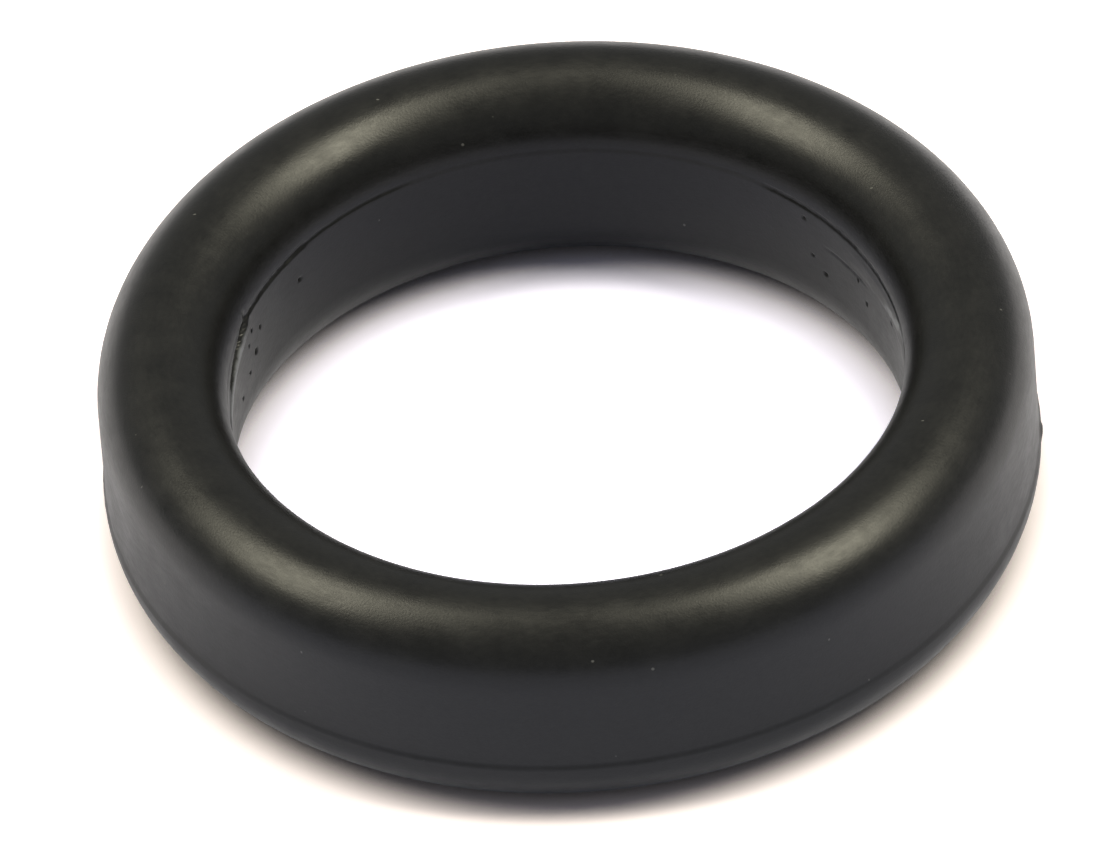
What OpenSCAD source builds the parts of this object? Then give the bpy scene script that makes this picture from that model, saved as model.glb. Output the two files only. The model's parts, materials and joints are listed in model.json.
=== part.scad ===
// Sealing ring with a tall oblong section, moulded in one piece from black rubber.
// The ring lies on its foot. The origin is the centre of the circle that the foot rests on,
// and +Z is the ring's axis. All sizes are in millimetres.
//
// The mould parts on the slant: its lower half shapes the foot and the bore wall, and its upper
// half shapes the outer wall and the crown. The lower half is a hair wider than the upper one,
// so a mould line runs round the outside just above the foot and round the bore just below the crown.

/* [Ring] */
// Diameter of the bore
bore_d = 13; // [8:0.5:30]
// Width of the section, from the bore wall to the outer wall
section_w = 2.5; // [1.5:0.1:3.5]
// Height of the section, from the foot to the crown
section_h = 4.5; // [4:0.1:9]

/* [Mould lines] */
// How far the lower mould half stands out past the upper one where they meet
mould_step = 0.04; // [0.02:0.01:0.1]
// Height of the sloping lip that leads from a wall to its mould line
lip_h = 0.16; // [0.05:0.01:0.3]

/* [Hidden] */
$fn = 180;
rubber_black = "#2c2c2a";

// The two walls
bore_r = bore_d / 2;
outer_r = bore_r + section_w;

// Full rounds of the crown and the foot, both centred on the same circle
crown_round = (section_w - mould_step) / 2;
foot_round = (section_w + mould_step) / 2;
pitch_r = bore_r + foot_round;

// Heights of the two mould lines
outer_line_z = foot_round;
inner_line_z = section_h - crown_round;

// The walls between the foot and the crown, with a sloping lip at each mould line
module walls() {
    polygon([
        [bore_r, outer_line_z],
        [outer_r + mould_step, outer_line_z],
        [outer_r, outer_line_z + lip_h],
        [outer_r, inner_line_z],
        [bore_r + mould_step, inner_line_z],
        [bore_r, inner_line_z - lip_h],
    ]);
}

// Half disc, rising from its flat side
module full_round(r) {
    intersection() {
        circle(r = r);
        translate([-r, 0]) square([2 * r, r]);
    }
}

// The section through one side of the ring, as it would be cut on a drawing
module section() {
    translate([pitch_r, outer_line_z]) mirror([0, 1]) full_round(foot_round);
    walls();
    translate([pitch_r, inner_line_z]) full_round(crown_round);
}

module o_ring() {
    color(rubber_black) rotate_extrude() section();
}

o_ring();
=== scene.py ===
# %% [markdown]
# # A moulded rubber sealing ring
#
# The object is one ring of black rubber with a tall oblong section. It lies on its foot on a white
# table, under two soft lamps. Everything here is in metres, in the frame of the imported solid: the ring's
# axis is +Z, and the foot rests on z = 0. The lesson builds the ring from the rule of its section, gives
# it the flaws of its moulding, and then lights it as a studio would.

import json
import math

import bpy
from mathutils import Matrix, Vector


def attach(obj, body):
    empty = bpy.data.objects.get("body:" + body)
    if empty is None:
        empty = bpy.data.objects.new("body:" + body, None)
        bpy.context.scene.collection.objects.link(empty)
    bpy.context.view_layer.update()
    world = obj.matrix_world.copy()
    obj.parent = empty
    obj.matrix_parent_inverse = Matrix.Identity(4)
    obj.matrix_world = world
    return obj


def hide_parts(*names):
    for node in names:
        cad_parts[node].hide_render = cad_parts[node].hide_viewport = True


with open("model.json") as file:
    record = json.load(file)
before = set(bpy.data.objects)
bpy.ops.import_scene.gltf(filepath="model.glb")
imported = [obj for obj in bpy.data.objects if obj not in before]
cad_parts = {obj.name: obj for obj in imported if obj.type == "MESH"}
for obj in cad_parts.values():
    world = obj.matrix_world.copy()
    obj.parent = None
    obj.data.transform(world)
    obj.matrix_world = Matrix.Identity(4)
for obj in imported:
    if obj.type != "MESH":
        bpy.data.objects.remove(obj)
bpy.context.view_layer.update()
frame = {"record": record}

# %% [markdown]
# ## Sizes of the section
#
# A designer would read the ring's sizes from its drawing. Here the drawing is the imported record. Its two
# mounts give the bore wall and the outer wall, each with its radius and its two ends. The crown and the
# foot are full rounds on one pitch circle, so all the other sizes follow from the walls.

# %% Sizes from the frame
MM = 0.001
mounts = {mount["name"]: mount for mount in frame["record"]["mounts"]}


def wall_of(name):
    """Radius, lowest and highest point of a round wall that the record states, in metres."""
    mount = mounts[name]
    half_length = mount["dims"]["length_mm"] * MM / 2
    middle = mount["pos_m"][2]
    return mount["dims"]["r_mm"] * MM, middle - half_length, middle + half_length


bore_r, outer_line_z, bore_wall_top = wall_of("bore")
outer_r, outer_lip_top, inner_line_z = wall_of("outer_wall")
foot_round = outer_line_z
pitch_r = bore_r + foot_round
crown_round = outer_r - pitch_r
height = inner_line_z + crown_round
rim_r = pitch_r + foot_round
print("sizes in mm: bore radius", bore_r / MM, "rim radius", rim_r / MM, "height", height / MM)

# %% [markdown]
# ## Helpers for node trees
#
# Geometry Nodes and shader trees are built by the same three moves: add a node, set its values, link its
# sockets. A few short functions keep the trees below readable: one adds any node, four write sums, rises,
# windows and colour mixes as a person would, and two make a geometry tree and run it.


# %% Adding a node
def add(tree, kind, inputs=None, **settings):
    """Adds a node, sets its properties, and fills its inputs with values or with links."""
    made = tree.nodes.new(kind)
    for name, value in settings.items():
        setattr(made, name, value)
    for key, value in (inputs or {}).items():
        if isinstance(value, bpy.types.NodeSocket):
            tree.links.new(value, made.inputs[key])
        else:
            made.inputs[key].default_value = value
    return made


def maths(tree, operation, *values):
    """Adds a Math node and returns its result."""
    return add(tree, "ShaderNodeMath", dict(enumerate(values)), operation=operation).outputs[0]


# %% Rises, windows and mixes
def ramp(tree, value, start, end):
    """A smooth rise from 0 at start to 1 at end. It falls instead where end lies before start."""
    low, high = (start, end) if start < end else (end, start)
    to_low, to_high = (0.0, 1.0) if start < end else (1.0, 0.0)
    sockets = {"Value": value, "From Min": low, "From Max": high, "To Min": to_low, "To Max": to_high}
    made = add(tree, "ShaderNodeMapRange", sockets, interpolation_type="SMOOTHSTEP")
    return made.outputs["Result"]


def window(tree, value, start, end, soft):
    """1 between start and end, fading to 0 over the distance soft outside them."""
    rise = ramp(tree, value, start - soft, start)
    fall = ramp(tree, value, end + soft, end)
    return maths(tree, "MULTIPLY", rise, fall)


def blend(tree, factor, first, second):
    """Mixes two colours, each a socket or a value."""
    sockets = {"Factor": factor, "A": first, "B": second}
    return add(tree, "ShaderNodeMix", sockets, data_type="RGBA").outputs["Result"]


# %% Running a geometry tree
def new_tree(name, sizes):
    """A geometry tree with a geometry output and one named number input for each size."""
    tree = bpy.data.node_groups.new(name, "GeometryNodeTree")
    tree.interface.new_socket("Geometry", in_out="OUTPUT", socket_type="NodeSocketGeometry")
    for label, value in sizes.items():
        kind = "NodeSocketInt" if isinstance(value, int) else "NodeSocketFloat"
        tree.interface.new_socket(label, in_out="INPUT", socket_type=kind)
    return tree


def grow(name, tree, sizes):
    """Runs a geometry tree on an empty mesh and returns the result as a plain mesh object."""
    host = bpy.data.objects.new(name + "_host", bpy.data.meshes.new(name + "_host"))
    bpy.context.scene.collection.objects.link(host)
    modifier = host.modifiers.new(tree.name, "NODES")
    modifier.node_group = tree
    sockets = {item.name: item.identifier for item in tree.interface.items_tree if item.in_out == "INPUT"}
    for label, value in sizes.items():
        modifier[sockets[label]] = value
    evaluated = host.evaluated_get(bpy.context.evaluated_depsgraph_get())
    mesh = bpy.data.meshes.new_from_object(evaluated)
    mesh.name = name
    bpy.data.objects.remove(host)
    piece = bpy.data.objects.new(name, mesh)
    bpy.context.scene.collection.objects.link(piece)
    return piece


# %% [markdown]
# ## The rubber
#
# Moulded black rubber is nearly black with a satin skin. Its look comes from the reflections: soft lamps
# read as smeared streaks, and the white table as a pale rim at grazing angles. A Principled shader does
# both. Its specular level is one number, because the skin is one rubber all over. Clouds and finer
# blotches of noise vary the tint. Clouds and short streaks along the ring vary the gloss, as handling and
# mould release leave it. A fine bump gives the skin its grain. Scuffed flash is duller, and paler partly
# from scuffing and partly from a painted highlight of light glinting off the ragged flash. A few specks of
# dust lie where the skin cuts the middle of a random cell.

# %% Noise on the skin
CLOUDS_PER_METRE = 1400.0
BLOTCHES_PER_METRE = 8000.0
GRAIN_PER_METRE = 21000.0
NOISE_ROUGHNESS = 0.55
NOISE_LOW = 0.3
NOISE_HIGH = 0.7
STREAKS_PER_TURN = 32.0
STREAKS_PER_METRE = 13000.0


def object_noise(tree, scale, detail):
    """Noise in the piece's own coordinates."""
    place = add(tree, "ShaderNodeTexCoord").outputs["Object"]
    sockets = {"Vector": place, "Scale": scale, "Detail": detail, "Roughness": NOISE_ROUGHNESS}
    return add(tree, "ShaderNodeTexNoise", sockets).outputs["Fac"]


def streak_noise(tree):
    """Noise drawn out along the ring, the way rubbed marks run."""
    place = add(tree, "ShaderNodeTexCoord").outputs["Object"]
    parts = add(tree, "ShaderNodeSeparateXYZ", {"Vector": place}).outputs
    flat = add(tree, "ShaderNodeCombineXYZ", {"X": parts["X"], "Y": parts["Y"]}).outputs[0]
    radius = add(tree, "ShaderNodeVectorMath", {0: flat}, operation="LENGTH").outputs["Value"]
    along = maths(tree, "DIVIDE", STREAKS_PER_TURN, radius)
    across = {
        "X": maths(tree, "MULTIPLY", parts["X"], along),
        "Y": maths(tree, "MULTIPLY", parts["Y"], along),
        "Z": maths(tree, "MULTIPLY", radius, STREAKS_PER_METRE),
    }
    sockets = {"Vector": add(tree, "ShaderNodeCombineXYZ", across).outputs[0], "Scale": 1.0, "Detail": 2.0}
    sockets["W"] = maths(tree, "MULTIPLY", parts["Z"], STREAKS_PER_METRE)
    return add(tree, "ShaderNodeTexNoise", sockets, noise_dimensions="4D").outputs["Fac"]


def average(tree, first, second):
    return maths(tree, "MULTIPLY", maths(tree, "ADD", first, second), 0.5)


def spread(tree, noise, low, high):
    """Spreads the middle range of a noise over a range of values."""
    sockets = {"Value": noise, "From Min": NOISE_LOW, "From Max": NOISE_HIGH, "To Min": low, "To Max": high}
    return add(tree, "ShaderNodeMapRange", sockets).outputs["Result"]


print("widths in mm: clouds", 1000 / CLOUDS_PER_METRE, "blotches", 1000 / BLOTCHES_PER_METRE)

# %% Rubber material
RUBBER_DARK = (0.0050, 0.0050, 0.0046, 1.0)
RUBBER_LIGHT = (0.0106, 0.0106, 0.0102, 1.0)
# Pale flash: partly scuffing, partly a painted highlight of light glinting off the ragged flash.
SCUFF_AND_PAINTED_HIGHLIGHT = "scuffed"
SCUFF_AND_PAINTED_HIGHLIGHT_GREY = (0.26, 0.27, 0.29, 1.0)
DUST_GREY = (0.10, 0.10, 0.095, 1.0)
DUST_CELLS_PER_METRE = 1100.0
DUST_SIZE = 0.045
DUST_STRETCH = (1.0, 1.9, 1.0)
GLOSS_LOW = 0.28
GLOSS_HIGH = 0.42
DULL = 0.62
SHINE = 0.45
GRAIN_DEPTH = 0.0000024


def new_material(name):
    """A material with an empty tree."""
    material = bpy.data.materials.new(name)
    material.use_nodes = True
    material.node_tree.nodes.clear()
    return material, material.node_tree


def dust_mask(tree):
    """1 on small specks: where the skin cuts through the middle of a random cell."""
    place = add(tree, "ShaderNodeTexCoord").outputs["Object"]
    place = add(tree, "ShaderNodeVectorMath", {0: place, 1: DUST_STRETCH}, operation="MULTIPLY").outputs[0]
    cells = add(tree, "ShaderNodeTexVoronoi", {"Vector": place, "Scale": DUST_CELLS_PER_METRE})
    return ramp(tree, cells.outputs["Distance"], DUST_SIZE, 0.5 * DUST_SIZE)


def rubber_material():
    material, tree = new_material("moulded_rubber")
    clouds = object_noise(tree, CLOUDS_PER_METRE, 4.0)
    blotches = object_noise(tree, BLOTCHES_PER_METRE, 3.0)
    grain = object_noise(tree, GRAIN_PER_METRE, 2.0)
    scuffed = add(tree, "ShaderNodeAttribute", attribute_name=SCUFF_AND_PAINTED_HIGHLIGHT).outputs["Fac"]
    dusty = dust_mask(tree)
    uneven = spread(tree, average(tree, clouds, blotches), 0.0, 1.0)
    colour = blend(tree, uneven, RUBBER_DARK, RUBBER_LIGHT)
    # Pale flash: scuffing and a painted highlight in one colour.
    colour = blend(tree, scuffed, colour, SCUFF_AND_PAINTED_HIGHLIGHT_GREY)
    colour = blend(tree, dusty, colour, DUST_GREY)
    gloss = spread(tree, average(tree, streak_noise(tree), clouds), GLOSS_LOW, GLOSS_HIGH)
    worn = maths(tree, "MULTIPLY", maths(tree, "MAXIMUM", scuffed, dusty), DULL)
    bump = add(tree, "ShaderNodeBump", {"Height": grain, "Strength": 1.0, "Distance": GRAIN_DEPTH})
    sockets = {
        "Base Color": colour,
        "Roughness": maths(tree, "MAXIMUM", gloss, worn),
        "Specular IOR Level": SHINE,
        "Normal": bump.outputs["Normal"],
    }
    shader = add(tree, "ShaderNodeBsdfPrincipled", sockets)
    add(tree, "ShaderNodeOutputMaterial", {"Surface": shader.outputs["BSDF"]})
    return material


rubber = rubber_material()
print("material:", rubber.name)

# %% [markdown]
# ## The section as a curve
#
# The section is two full rounds joined by two straight walls. The mould parts on the slant, so each wall
# has a mould line where it steps sideways by a hair: outside just above the foot, in the bore just below
# the crown. Each step is a sloping lip, drawn as a Bezier piece with both ends upright, because rubber
# flows round the mould's edge and leaves no sharp corner. The pieces become edges, are merged at their
# ends, and come back as one closed curve.

# %% Section curve in nodes
SECTION_SIZES = {
    "Bore radius": bore_r,
    "Outer radius": outer_r,
    "Rim radius": rim_r,
    "Pitch radius": pitch_r,
    "Height": height,
    "Outer line": outer_line_z,
    "Outer lip top": outer_lip_top,
    "Inner lip foot": bore_wall_top,
    "Inner line": inner_line_z,
}
CROWN_STEPS = 30
FOOT_STEPS = 24
BORE_STEPS = 62
OUTER_STEPS = 10
LIP_STEPS = 12
LIP_EASE = 0.35
MERGE_DISTANCE = 1e-8


def point(tree, x, y):
    return add(tree, "ShaderNodeCombineXYZ", {"X": x, "Y": y}).outputs[0]


def straight(tree, start, end, steps):
    line = add(tree, "GeometryNodeCurvePrimitiveLine", {"Start": start, "End": end})
    return add(tree, "GeometryNodeResampleCurve", {"Curve": line.outputs[0], "Count": steps + 1}).outputs[0]


def sloping_lip(tree, low_x, low_z, high_x, high_z):
    """A sloping lip between two upright walls, eased a little at both ends."""
    ease = maths(tree, "MULTIPLY", maths(tree, "SUBTRACT", high_z, low_z), LIP_EASE)
    sockets = {
        "Resolution": LIP_STEPS,
        "Start": point(tree, low_x, low_z),
        "Start Handle": point(tree, low_x, maths(tree, "ADD", low_z, ease)),
        "End Handle": point(tree, high_x, maths(tree, "SUBTRACT", high_z, ease)),
        "End": point(tree, high_x, high_z),
    }
    return add(tree, "GeometryNodeCurvePrimitiveBezierSegment", sockets).outputs[0]


def full_round(tree, centre, radius, start, steps):
    sockets = {"Resolution": steps + 1, "Radius": radius, "Start Angle": start, "Sweep Angle": math.pi}
    arc = add(tree, "GeometryNodeCurveArc", sockets)
    placed = add(tree, "GeometryNodeTransform", {"Geometry": arc.outputs[0], "Translation": centre})
    return placed.outputs[0]


def section_curve(tree, size):
    """One closed curve of the section, with X as the radius and Y as the height."""
    crown_r = maths(tree, "SUBTRACT", size["Height"], size["Inner line"])
    crown_x = maths(tree, "SUBTRACT", size["Outer radius"], crown_r)
    crown_centre = point(tree, crown_x, size["Inner line"])
    foot_centre = point(tree, size["Pitch radius"], size["Outer line"])
    bore_low = point(tree, size["Bore radius"], size["Outer line"])
    bore_high = point(tree, size["Bore radius"], size["Inner lip foot"])
    outer_low = point(tree, size["Outer radius"], size["Outer lip top"])
    outer_high = point(tree, size["Outer radius"], size["Inner line"])
    inner_top_x = maths(tree, "SUBTRACT", crown_x, crown_r)
    inner_lip = (size["Bore radius"], size["Inner lip foot"], inner_top_x, size["Inner line"])
    outer_lip = (size["Rim radius"], size["Outer line"], size["Outer radius"], size["Outer lip top"])
    pieces = [
        full_round(tree, crown_centre, crown_r, 0.0, CROWN_STEPS),
        full_round(tree, foot_centre, size["Outer line"], math.pi, FOOT_STEPS),
        straight(tree, bore_low, bore_high, BORE_STEPS),
        straight(tree, outer_low, outer_high, OUTER_STEPS),
        sloping_lip(tree, *inner_lip),
        sloping_lip(tree, *outer_lip),
    ]
    joined = add(tree, "GeometryNodeJoinGeometry")
    for piece in pieces:
        tree.links.new(piece, joined.inputs[0])
    edges = add(tree, "GeometryNodeCurveToMesh", {"Curve": joined.outputs[0]})
    sockets = {"Geometry": edges.outputs[0], "Distance": MERGE_DISTANCE}
    merged = add(tree, "GeometryNodeMergeByDistance", sockets)
    return add(tree, "GeometryNodeMeshToCurve", {"Mesh": merged.outputs[0]}).outputs[0]


print("section steps:", CROWN_STEPS + FOOT_STEPS + BORE_STEPS + OUTER_STEPS + 2 * LIP_STEPS)

# %% [markdown]
# ## The path round the ring
#
# The section is swept round a circle. The mould has left its marks on two sides of the bore, so the
# columns crowd together there and spread out elsewhere: a sine added to an even turn does that. The turn
# is counted from the front, where the ring faces the camera, and is positive to the right.

# %% Path in nodes
COLUMNS = 640
CROWDED_TURN = math.radians(106.0)
CROWDING = 0.375


def uneven_circle(tree, radius):
    """A closed path of the given radius, with its points crowded together on the two marked sides."""
    circle = add(tree, "GeometryNodeMeshCircle", {"Vertices": COLUMNS})
    index = add(tree, "GeometryNodeInputIndex").outputs[0]
    even = maths(tree, "SUBTRACT", maths(tree, "MULTIPLY", index, math.tau / COLUMNS), math.pi)
    size = maths(tree, "ABSOLUTE", even)
    doubled = maths(tree, "MULTIPLY", maths(tree, "SUBTRACT", size, CROWDED_TURN), 2.0)
    wave = maths(tree, "ADD", maths(tree, "SINE", doubled), math.sin(2.0 * CROWDED_TURN))
    warped = maths(tree, "SUBTRACT", size, maths(tree, "MULTIPLY", wave, CROWDING))
    turn = maths(tree, "MULTIPLY", warped, maths(tree, "SIGN", even))
    x = maths(tree, "MULTIPLY", maths(tree, "SINE", turn), radius)
    y = maths(tree, "MULTIPLY", maths(tree, "COSINE", turn), maths(tree, "MULTIPLY", radius, -1.0))
    sockets = {"Geometry": circle.outputs[0], "Position": point(tree, x, y)}
    placed = add(tree, "GeometryNodeSetPosition", sockets)
    return add(tree, "GeometryNodeMeshToCurve", {"Mesh": placed.outputs[0]}).outputs[0]


print("columns round the ring:", COLUMNS)

# %% [markdown]
# ## Marks of the moulding
#
# Where the mould halves met in the bore, thin flash was squeezed out and trimmed by hand. It was cut clean
# at the back. On the left a strip was torn out above a bead that still stands. On the right a low bead
# stands under a fine seam. Both beads are pale, partly rubbed and partly a painted highlight of light
# glinting off the ragged flash. Trapped air left a few pits. All of these except the pale strips are
# offsets of the swept surface along its radius, made of windows round the turn and up the wall. Noise with
# a fixed pattern makes their edges ragged. The pale strips, rub marks and painted highlight together, are
# kept as an attribute for the rubber.

# %% Places on the swept surface
RAGS_PER_METRE = 5200.0
RAG_SHIFT = 0.05 * MM
WAVE_SHIFT = 0.0125 * MM
SIDE_FADE = 0.5 * MM
TEAR_TURN = -105.0
TEAR_SLANT = 0.030 * MM
RUB_AND_HIGHLIGHT_TURN = 105.0
RUB_AND_HIGHLIGHT_SLANT = 0.035 * MM


def noise_about_zero(tree, place, scale):
    """Noise from about -1 to 1, with a fixed pattern in the piece's own coordinates."""
    noise = add(tree, "ShaderNodeTexNoise", {"Vector": place, "Scale": scale, "Detail": 3.0}).outputs[0]
    return maths(tree, "MULTIPLY", maths(tree, "SUBTRACT", noise, 0.5), 2.0)


def shifted(tree, height, by, amount):
    return maths(tree, "ADD", height, maths(tree, "MULTIPLY", by, amount))


def surface_places(tree):
    """Where a point of the surface lies: place, turn from the front in degrees, heights and side."""
    at = {"place": add(tree, "GeometryNodeInputPosition").outputs[0]}
    parts = add(tree, "ShaderNodeSeparateXYZ", {"Vector": at["place"]}).outputs
    at["flat"] = add(tree, "ShaderNodeCombineXYZ", {"X": parts["X"], "Y": parts["Y"]}).outputs[0]
    radius = add(tree, "ShaderNodeVectorMath", {0: at["flat"]}, operation="LENGTH").outputs["Value"]
    away = maths(tree, "MULTIPLY", parts["Y"], -1.0)
    at["turn"] = maths(tree, "DEGREES", maths(tree, "ARCTAN2", parts["X"], away))
    at["inside"] = ramp(tree, radius, pitch_r, pitch_r - SIDE_FADE)
    at["outside"] = ramp(tree, radius, pitch_r, pitch_r + SIDE_FADE)
    at["rough"] = noise_about_zero(tree, at["place"], RAGS_PER_METRE)
    at["z"] = parts["Z"]
    at["wavy z"] = shifted(tree, at["z"], at["rough"], WAVE_SHIFT)
    ragged = shifted(tree, at["z"], at["rough"], RAG_SHIFT)
    at["torn z"] = shifted(tree, ragged, maths(tree, "SUBTRACT", at["turn"], TEAR_TURN), TEAR_SLANT)
    at["rubbed z"] = shifted(tree, ragged, maths(tree, "SUBTRACT", at["turn"], RUB_AND_HIGHLIGHT_TURN), RUB_AND_HIGHLIGHT_SLANT)
    return at


print("raggedness of the marks in mm:", RAG_SHIFT / MM)

# %% Seams, beads and tears
# A band is its two turns in degrees, their fade in degrees, its two heights in mm and their fade in mm.
LEFT_BEAD = ((-110.0, -90.0), 4.0, (2.70, 2.84), 0.12)
RIGHT_BEAD = ((82.0, 112.0), 12.0, (2.72, 2.92), 0.18)
TORN_STRIP = ((-110.5, -99.5), 2.0, (2.92, 3.08), 0.03)
# Pale strips on the beads: rub marks together with a painted highlight.
LEFT_RUBBING_AND_HIGHLIGHT = ((-106.0, -96.0), 6.0, (2.68, 2.86), 0.08)
RIGHT_RUBBING_AND_HIGHLIGHT = ((98.0, 102.0), 8.0, (2.70, 2.80), 0.08)
# A seam is its two turns in degrees, and its height, its fade and its depth in mm.
SEAMS = [
    ((-152.0, -132.0), 3.23, 0.055, 0.013),
    ((-129.0, -112.0), 3.19, 0.065, 0.030),
    ((88.0, 138.0), 3.18, 0.075, 0.019),
    ((117.5, 123.5), 2.46, 0.030, 0.018),
]
SEAM_HALF = 0.012
SEAM_END_FADE = 5.0
LEFT_BEAD_PROUD = 0.040 * MM
RIGHT_BEAD_PROUD = 0.020 * MM
EASED_SHARE = 0.55
EASED_REACH = 0.45 * MM
BARE_ROUGH = -0.6
RUBBED_AND_HIGHLIGHT_ROUGH = 0.4


def band(tree, at, height, place):
    """1 on a band of the wall, with faded ends and edges. Height names one of the heights in at."""
    turns, end_fade, heights, edge_fade = place
    along = window(tree, at["turn"], turns[0], turns[1], end_fade)
    across = window(tree, at[height], heights[0] * MM, heights[1] * MM, edge_fade * MM)
    return maths(tree, "MULTIPLY", along, across)


def seam(tree, at, turns, height, fade, depth):
    """A fine groove along a mould line, deeper in some places than in others."""
    groove = band(tree, at, "wavy z", (turns, SEAM_END_FADE, (height - SEAM_HALF, height + SEAM_HALF), fade))
    uneven = maths(tree, "MULTIPLY", maths(tree, "ADD", at["rough"], 1.0), depth * MM)
    return maths(tree, "MULTIPLY", groove, uneven)


def eased_lip(tree, at):
    """Eases the inner lip, which was cut back together with the flash."""
    rise = ramp(tree, at["z"], bore_wall_top, inner_line_z)
    fall = ramp(tree, at["z"], inner_line_z + EASED_REACH, inner_line_z)
    return maths(tree, "MULTIPLY", maths(tree, "MULTIPLY", rise, fall), -EASED_SHARE * (rim_r - outer_r))


def beads(tree, at):
    """The flash that was left standing under the inner line, on the left and on the right."""
    left = maths(tree, "MULTIPLY", band(tree, at, "torn z", LEFT_BEAD), -LEFT_BEAD_PROUD)
    right = maths(tree, "MULTIPLY", band(tree, at, "z", RIGHT_BEAD), -RIGHT_BEAD_PROUD)
    return maths(tree, "ADD", left, right)


def rubbing_and_painted_highlight(tree, at, hollow):
    """1 where a bead, left or right, is pale from rub marks and a painted highlight, but not in the torn
    hollow.
    """
    left = band(tree, at, "torn z", LEFT_RUBBING_AND_HIGHLIGHT)
    right = band(tree, at, "rubbed z", RIGHT_RUBBING_AND_HIGHLIGHT)
    patchy = ramp(tree, at["rough"], BARE_ROUGH, RUBBED_AND_HIGHLIGHT_ROUGH)
    strips = maths(tree, "MULTIPLY", maths(tree, "MAXIMUM", left, right), patchy)
    return maths(tree, "MULTIPLY", maths(tree, "SUBTRACT", strips, hollow), at["inside"])


print("seams:", len(SEAMS))

# %% Pits and the trimmed rim
# A pit is its turn in degrees, and its height and its radius in mm.
PITS = [(-114.6, 2.06, 0.085), (-130.7, 0.76, 0.065), (-111.3, 1.82, 0.045), (-116.8, 2.47, 0.055)]
PITS += [(-113.4, 2.70, 0.045), (-130.1, 2.49, 0.055), (-111.8, 2.46, 0.040), (-106.5, 1.62, 0.045)]
PITS += [(131.9, 2.88, 0.045), (127.2, 1.75, 0.060), (117.4, 2.37, 0.045), (114.7, 1.98, 0.050)]
PITS += [(130.3, 2.03, 0.035), (103.2, 2.52, 0.045)]
PIT_DEPTH = 0.06 * MM
PIT_FLOOR = 0.4
PIT_RAGS_PER_METRE = 14000.0
PIT_WOBBLE = 0.5
RIM_BELOW = 0.02 * MM
RIM_ABOVE = 0.03 * MM
RIM_FADE = 0.06 * MM
RAGGED_RIM = 0.010 * MM
TAG_TURNS = (86.0, 87.5)
TAG_FADE = 1.0
TAG_PROUD = 0.025 * MM


def pits(tree, at):
    """Small hollows in the bore, with a floor that is narrower than their mouth."""
    rough = noise_about_zero(tree, at["place"], PIT_RAGS_PER_METRE)
    stretch = maths(tree, "ADD", maths(tree, "MULTIPLY", rough, PIT_WOBBLE), 1.0)
    depth = 0.0
    for turn, z, size in PITS:
        angle = math.radians(turn)
        centre = (bore_r * math.sin(angle), -bore_r * math.cos(angle), z * MM)
        sockets = {0: at["place"], 1: centre}
        gap = add(tree, "ShaderNodeVectorMath", sockets, operation="DISTANCE").outputs["Value"]
        gap = maths(tree, "MULTIPLY", gap, stretch)
        depth = maths(tree, "ADD", ramp(tree, gap, size * MM, PIT_FLOOR * size * MM), depth)
    return maths(tree, "MULTIPLY", depth, PIT_DEPTH)


def trimmed_rim(tree, at):
    """The outer line's edge: a little ragged all round, with one small tag of flash on the right."""
    edge = window(tree, at["z"], outer_line_z - RIM_BELOW, outer_line_z + RIM_ABOVE, RIM_FADE)
    tag = maths(tree, "MULTIPLY", window(tree, at["turn"], TAG_TURNS[0], TAG_TURNS[1], TAG_FADE), TAG_PROUD)
    return maths(tree, "MULTIPLY", shifted(tree, tag, at["rough"], RAGGED_RIM), edge)


print("pits:", len(PITS))

# %% All marks on the surface
TEAR_DEPTH = 0.075 * MM


def ring_marks(tree, geometry):
    """Moves the swept surface along its radius at its marks, and notes where rub marks and a painted
    highlight make it pale.
    """
    at = surface_places(tree)
    hollow = band(tree, at, "torn z", TORN_STRIP)
    total = maths(tree, "MULTIPLY", hollow, TEAR_DEPTH)
    marks = [eased_lip(tree, at), beads(tree, at), pits(tree, at)]
    marks += [seam(tree, at, *place) for place in SEAMS]
    for mark in marks:
        total = maths(tree, "ADD", total, mark)
    inner = maths(tree, "MULTIPLY", total, at["inside"])
    outer = maths(tree, "MULTIPLY", trimmed_rim(tree, at), at["outside"])
    outward = add(tree, "ShaderNodeVectorMath", {0: at["flat"]}, operation="NORMALIZE").outputs[0]
    sockets = {0: outward, "Scale": maths(tree, "ADD", inner, outer)}
    move = add(tree, "ShaderNodeVectorMath", sockets, operation="SCALE").outputs[0]
    # The pale strips, rub marks with a painted highlight, go to the rubber as an attribute.
    sockets = {"Geometry": geometry, "Name": SCUFF_AND_PAINTED_HIGHLIGHT, "Value": rubbing_and_painted_highlight(tree, at, hollow)}
    noted = add(tree, "GeometryNodeStoreNamedAttribute", sockets, data_type="FLOAT", domain="POINT")
    return add(tree, "GeometryNodeSetPosition", {"Geometry": noted.outputs[0], "Offset": move}).outputs[0]


print("depth of the tear in mm:", TEAR_DEPTH / MM)

# %% [markdown]
# ## The ring
#
# The tree sweeps the section round the path, puts the marks on it and gives it the rubber. A sweep lays
# the profile upside down on a path that runs this way, so the profile is mirrored first. A mirrored profile
# runs backwards, so it is also reversed, and the faces look outward again.

# %% Build the ring
UPSIDE_DOWN = (1.0, -1.0, 1.0)


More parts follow.
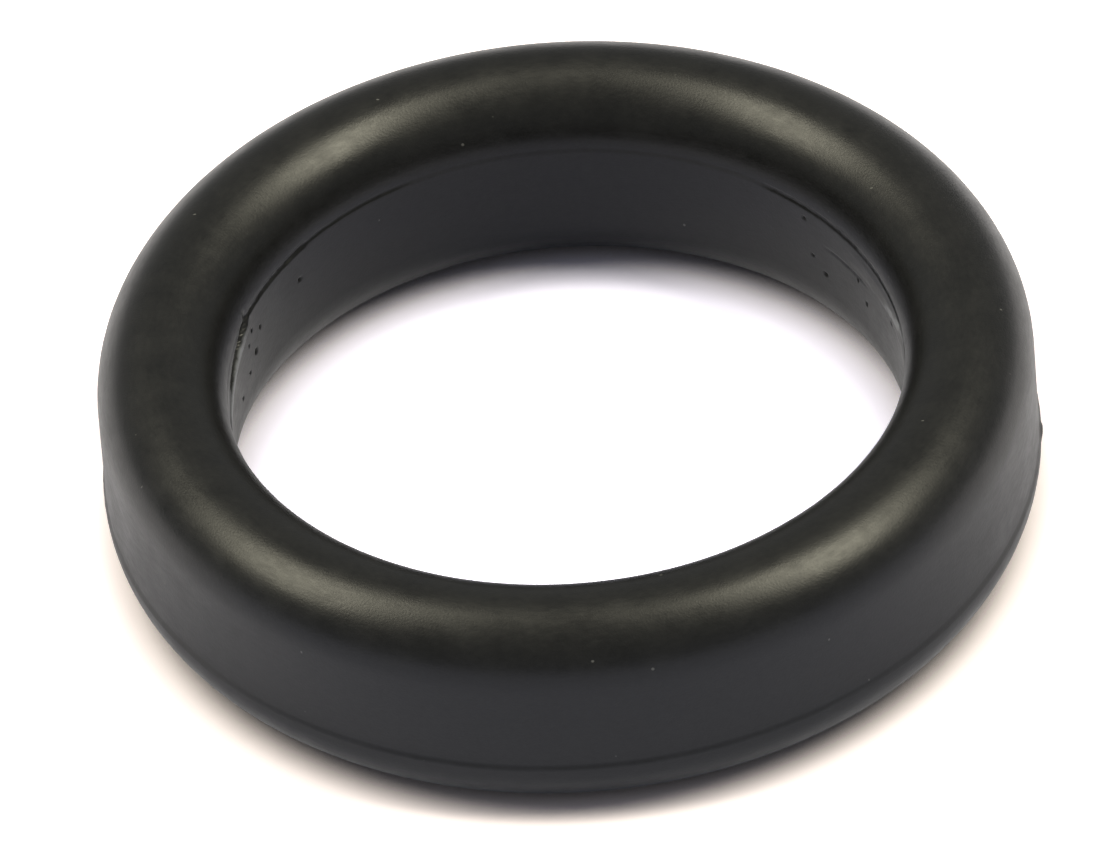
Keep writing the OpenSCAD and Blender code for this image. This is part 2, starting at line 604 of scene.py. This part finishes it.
def ring_tree():
    tree = new_tree("moulded_ring", SECTION_SIZES)
    size = add(tree, "NodeGroupInput").outputs
    profile = section_curve(tree, size)
    path = uneven_circle(tree, size["Pitch radius"])
    inward = point(tree, maths(tree, "MULTIPLY", size["Pitch radius"], -1.0), 0.0)
    centred = add(tree, "GeometryNodeTransform", {"Geometry": profile, "Translation": inward})
    upright = add(tree, "GeometryNodeTransform", {"Geometry": centred.outputs[0], "Scale": UPSIDE_DOWN})
    forward = add(tree, "GeometryNodeReverseCurve", {"Curve": upright.outputs[0]})
    swept = add(tree, "GeometryNodeCurveToMesh", {"Curve": path, "Profile Curve": forward.outputs[0]})
    marked = ring_marks(tree, swept.outputs[0])
    smooth = add(tree, "GeometryNodeSetShadeSmooth", {"Geometry": marked})
    real = add(tree, "GeometryNodeRealizeInstances", {"Geometry": smooth.outputs[0]})
    dressed = add(tree, "GeometryNodeSetMaterial", {"Geometry": real.outputs[0], "Material": rubber})
    add(tree, "NodeGroupOutput", {"Geometry": dressed.outputs[0]})
    return tree


ring = grow("rubber_ring", ring_tree(), SECTION_SIZES)
print("ring:", len(ring.data.vertices), "points,", len(ring.data.polygons), "faces")
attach(ring, "root")
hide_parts("o_ring")

# %% [markdown]
# ## The table
#
# The ring lies on a plain white table. A camera that is exposed for black rubber sees the table as pure
# white, with only the shade of contact left. So the table's colour is raised for camera rays, and ambient
# occlusion paints that shade into it where the ring touches it. That painted shade is a little warm
# outside the ring and a little cool inside it. The rubber mirrors paper of ordinary strength with light and
# shade painted into its colour: painted shade in front of the ring and in the middle of the hole, painted
# light beside and behind the ring, close to its foot and close to its bore. All of it depends on the place
# on the table alone, so it stays where it is in other views.

# %% Paper of the table
# Paper colours for reflections, with light and shade painted in: shade in front and mid-hole, light
# elsewhere.
PAPER_FRONT_PAINTED_SHADE = (0.55, 0.575, 0.77, 1.0)
PAPER_BACK_PAINTED_LIGHT = (1.00, 1.00, 1.18, 1.0)
PAPER_AT_FOOT_PAINTED_LIGHT = (1.22, 1.24, 1.44, 1.0)
PAPER_MIDDLE_PAINTED_SHADE = (0.41, 0.425, 0.60, 1.0)
PAPER_BESIDE_PAINTED_LIGHT = (0.89, 0.90, 1.08, 1.0)
PAPER_AT_BORE_PAINTED_LIGHT = (1.10, 1.11, 1.30, 1.0)
FRONT_Y = -12.5 * MM
BACK_Y = 1.0 * MM
BESIDE_X = 5.0 * MM
FOOT_NEAR = 0.6 * MM
FOOT_FAR = 0.5 * MM
BORE_NEAR = 0.5 * MM
HALF_CONTACT = 0.1 * MM
REACH_INSIDE = 0.84 * MM
REACH_OUTSIDE = 0.70 * MM
CONTACT_SAMPLES = 4


def paper_with_painted_light(tree, place, radius, outside):
    """Paper for reflections: painted shade in front and mid-hole, painted light beside, behind and near the
    ring.
    """
    parts = add(tree, "ShaderNodeSeparateXYZ", {"Vector": place}).outputs
    aside = ramp(tree, maths(tree, "ABSOLUTE", parts["X"]), 0.0, BESIDE_X)
    at_bore = ramp(tree, radius, bore_r - BORE_NEAR, pitch_r - HALF_CONTACT)
    within = blend(tree, aside, PAPER_MIDDLE_PAINTED_SHADE, PAPER_BESIDE_PAINTED_LIGHT)
    within = blend(tree, at_bore, within, PAPER_AT_BORE_PAINTED_LIGHT)
    behind = ramp(tree, parts["Y"], FRONT_Y, BACK_Y)
    off_foot = ramp(tree, radius, outer_r - FOOT_NEAR, outer_r + FOOT_FAR)
    around = blend(tree, behind, PAPER_FRONT_PAINTED_SHADE, PAPER_BACK_PAINTED_LIGHT)
    around = blend(tree, off_foot, PAPER_AT_FOOT_PAINTED_LIGHT, around)
    return blend(tree, outside, within, around)


def contact_shade(tree, outside):
    """1 on open paper, falling to 0 where the ring touches it."""
    sockets = {"Value": outside, "To Min": REACH_INSIDE, "To Max": REACH_OUTSIDE}
    reach = add(tree, "ShaderNodeMapRange", sockets).outputs["Result"]
    sockets = {"Distance": reach}
    return add(tree, "ShaderNodeAmbientOcclusion", sockets, samples=CONTACT_SAMPLES).outputs["AO"]


print("contact shade in mm: inside", REACH_INSIDE / MM, "outside", REACH_OUTSIDE / MM)

# %% Table
TABLE_RADIUS = 0.6
TABLE_CORNERS = 96
# Raised white for camera rays, and the colour of the painted contact shade.
SEEN_INSIDE = (1.66, 1.64, 2.12, 1.0)
SEEN_OUTSIDE = (1.76, 1.63, 1.80, 1.0)
SEEN_AT_CONTACT = (0.47, 0.43, 0.42, 1.0)


def table_material():
    """White paper for the camera, paper with painted light and shade in reflections, and nothing from below.
    """
    material, tree = new_material("white_table")
    rays = add(tree, "ShaderNodeLightPath").outputs
    seen = maths(tree, "MAXIMUM", rays["Is Camera Ray"], rays["Is Transmission Ray"])
    place = add(tree, "ShaderNodeTexCoord").outputs["Object"]
    radius = add(tree, "ShaderNodeVectorMath", {0: place}, operation="LENGTH").outputs["Value"]
    outside = ramp(tree, radius, pitch_r - HALF_CONTACT, pitch_r + HALF_CONTACT)
    # The paper that the rubber mirrors, with painted shade and painted light.
    mirrored = paper_with_painted_light(tree, place, radius, outside)
    open_paper = blend(tree, outside, SEEN_INSIDE, SEEN_OUTSIDE)
    # For camera rays, ambient occlusion paints the contact shade into the raised white.
    direct = blend(tree, contact_shade(tree, outside), SEEN_AT_CONTACT, open_paper)
    matt = add(tree, "ShaderNodeBsdfDiffuse", {"Color": blend(tree, seen, mirrored, direct)}).outputs[0]
    below = add(tree, "ShaderNodeNewGeometry").outputs["Backfacing"]
    clear = add(tree, "ShaderNodeBsdfTransparent").outputs[0]
    mixed = add(tree, "ShaderNodeMixShader", {0: below, 1: matt, 2: clear}).outputs[0]
    add(tree, "ShaderNodeOutputMaterial", {"Surface": mixed})
    return material


def make_table():
    bpy.ops.mesh.primitive_circle_add(vertices=TABLE_CORNERS, radius=TABLE_RADIUS, fill_type="NGON")
    table = bpy.context.object
    table.name = "table"
    table.data.materials.append(table_material())
    return table


print("table:", make_table().name)

# %% [markdown]
# ## Lamps and surroundings
#
# Two soft oval lamps stand high up on the left and on the right, about level with the ring. Each oval is
# turned about its own aim until its streak on the crown has the right slant. The room is a plain grey,
# a little darker behind the camera than beyond the ring, which keeps the crown black between the streaks.
# A lamp's brightness is the light that each part of it sends out, and its power follows from its area.

# %% Lamps
LAMP_DISTANCE = 0.30
LAMP_COLOUR = (1.0, 0.95, 0.74)


def direction(azimuth, elevation):
    """Unit vector. Azimuth 0 points at the camera's side and 90 to the right, in degrees."""
    a, e = math.radians(azimuth), math.radians(elevation)
    return Vector((math.sin(a) * math.cos(e), -math.cos(a) * math.cos(e), math.sin(e)))


def soft_lamp(name, azimuth, elevation, width, length, spin, brightness):
    """An oval lamp that faces the ring. Spin turns it about its own aim, in degrees."""
    data = bpy.data.lights.new(name, "AREA")
    data.shape = "ELLIPSE"
    data.size = width
    data.size_y = length
    data.color = LAMP_COLOUR
    data.energy = brightness * math.pi * (math.pi / 4 * width * length)
    lamp = bpy.data.objects.new(name, data)
    bpy.context.scene.collection.objects.link(lamp)
    aim = direction(azimuth, elevation)
    turn = aim.to_track_quat("Z", "Y").to_matrix().to_4x4() @ Matrix.Rotation(math.radians(spin), 4, "Z")
    lamp.matrix_world = Matrix.Translation(aim * LAMP_DISTANCE) @ turn
    return lamp


soft_lamp("lamp_left", azimuth=-99.5, elevation=56.3, width=0.26, length=0.11, spin=-41.0, brightness=8.7)
soft_lamp("lamp_right", azimuth=91.0, elevation=59.6, width=0.25, length=0.10, spin=45.0, brightness=10.9)

# %% Room
ROOM_DARK = 0.25
ROOM_GREY = 0.29
ROOM_NEAR = -0.7
ROOM_FAR = 0.3
ROOM_TINT = (0.96, 0.98, 1.0, 1.0)


def make_room():
    world = bpy.data.worlds.new("room")
    bpy.context.scene.world = world
    world.use_nodes = True
    tree = world.node_tree
    tree.nodes.clear()
    way = add(tree, "ShaderNodeTexCoord").outputs["Generated"]
    depth = add(tree, "ShaderNodeSeparateXYZ", {"Vector": way}).outputs["Y"]
    sockets = {
        "Value": depth,
        "From Min": ROOM_NEAR,
        "From Max": ROOM_FAR,
        "To Min": ROOM_DARK,
        "To Max": ROOM_GREY,
    }
    level = add(tree, "ShaderNodeMapRange", sockets, interpolation_type="SMOOTHSTEP").outputs["Result"]
    glow = add(tree, "ShaderNodeBackground", {"Color": ROOM_TINT, "Strength": level})
    add(tree, "ShaderNodeOutputWorld", {"Surface": glow.outputs[0]})
    return world


print("world:", make_room().name)

# %% [markdown]
# ## The camera
#
# The photograph was taken from far off with a long lens, looking down on the ring with the camera turned
# a little. The camera is set from those facts: its height angle, its roll, its distance, and where the
# centre of the foot falls in the picture.

# %% Camera
PICTURE_WIDTH_PX = 1114
PICTURE_HEIGHT_PX = 865
FOOT_CENTRE_PX = (575.76, 498.84)
FOCAL_PX = 23450.0
CAMERA_DISTANCE = 451.85 * MM
CAMERA_ELEVATION = math.radians(42.215)
CAMERA_ROLL = math.radians(4.63)
SENSOR_MM = 36.0


def make_camera():
    cos_e, sin_e = math.cos(CAMERA_ELEVATION), math.sin(CAMERA_ELEVATION)
    cos_r, sin_r = math.cos(CAMERA_ROLL), math.sin(CAMERA_ROLL)
    right = Vector((cos_r, -sin_r * sin_e, -sin_r * cos_e))
    up = Vector((sin_r, cos_r * sin_e, cos_r * cos_e))
    back = Vector((0.0, -cos_e, sin_e))
    metres_per_px = CAMERA_DISTANCE / FOCAL_PX
    across = (FOOT_CENTRE_PX[0] - PICTURE_WIDTH_PX / 2) * metres_per_px
    down = (FOOT_CENTRE_PX[1] - PICTURE_HEIGHT_PX / 2) * metres_per_px
    data = bpy.data.cameras.new("camera")
    data.sensor_width = SENSOR_MM
    data.lens = FOCAL_PX * SENSOR_MM / PICTURE_WIDTH_PX
    camera = bpy.data.objects.new("camera", data)
    bpy.context.scene.collection.objects.link(camera)
    axes = Matrix((right, up, back)).transposed().to_4x4()
    eye = back * CAMERA_DISTANCE - right * across + up * down
    camera.matrix_world = Matrix.Translation(eye) @ axes
    bpy.context.scene.camera = camera
    return camera


print("camera at", [round(v, 4) for v in make_camera().location])
bpy.context.scene.view_settings.view_transform = "Standard"
